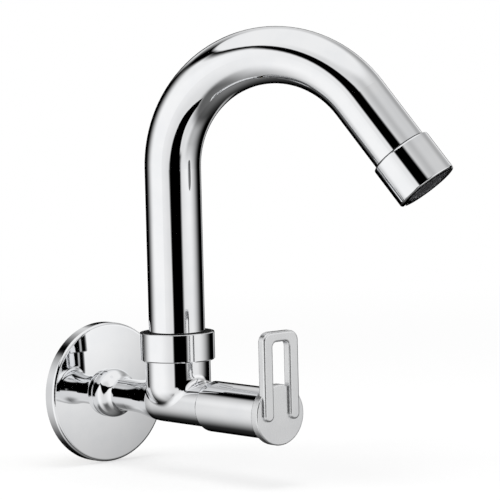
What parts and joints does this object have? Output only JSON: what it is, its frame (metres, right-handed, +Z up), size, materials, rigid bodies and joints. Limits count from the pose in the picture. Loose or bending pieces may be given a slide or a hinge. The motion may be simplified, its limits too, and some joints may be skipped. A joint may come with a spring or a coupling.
{
  "type": "wall-mounted kitchen tap",
  "caption": "Chromed wall-mounted kitchen tap with a round flange, an arched swivelling spout with an aerator and a quarter-turn loop lever.",
  "frame": {"origin": "on the inlet's axis, in the plane of the wall that the flange rests on", "axes": "+Z up, -Y out of the wall towards the user along the barrel, +X to the user's right"},
  "size_m": [0.1111, 0.2033, 0.2178],
  "materials": {
    "chrome": "polished chrome plate on brass",
    "satin_chrome": "chrome plate with a soft satin sheen",
    "brass": "turned bare brass",
    "rubber": "moulded black rubber",
    "ceramic": "lapped alumina",
    "white_plastic": "moulded acetal",
    "dark_plastic": "moulded dark plastic",
    "steel": "stainless steel"
  },
  "bodies": {
    "tap_body": {"wall_flange": "chrome", "flange_grip_ring": "rubber", "body_casting": "chrome", "seat_seal": "rubber", "fixed_disc": "ceramic", "valve_housing": "brass", "valve_o_ring": "rubber", "bonnet_sleeve": "chrome", "spout_nut": "chrome", "glide_ring": "white_plastic"},
    "lever": {"lever_handle": "satin_chrome", "lever_grub_screw": "steel", "spindle": "brass", "spindle_o_rings": "rubber", "slip_washer": "white_plastic", "spindle_clip": "steel", "moving_disc": "ceramic"},
    "spout": {"spout_tube": "chrome", "swivel_bush": "brass", "swivel_o_rings": "rubber", "outlet_adapter": "brass", "aerator_housing": "chrome", "aerator_washer": "rubber", "aerator_screen": "steel", "aerator_core": "dark_plastic", "aerator_comb": "dark_plastic"}
  },
  "joints": [
    {"name": "spout_swivel", "type": "hinge", "parent": "tap_body", "child": "spout", "pos_m": [0, -0.062, 0], "axis": [0, 0, 1], "range_deg": [-128, 72]},
    {"name": "lever_turn", "type": "hinge", "parent": "tap_body", "child": "lever", "pos_m": [0, -0.1385, 0], "axis": [0, -1, 0], "range_deg": [0, 90]}
  ]
}
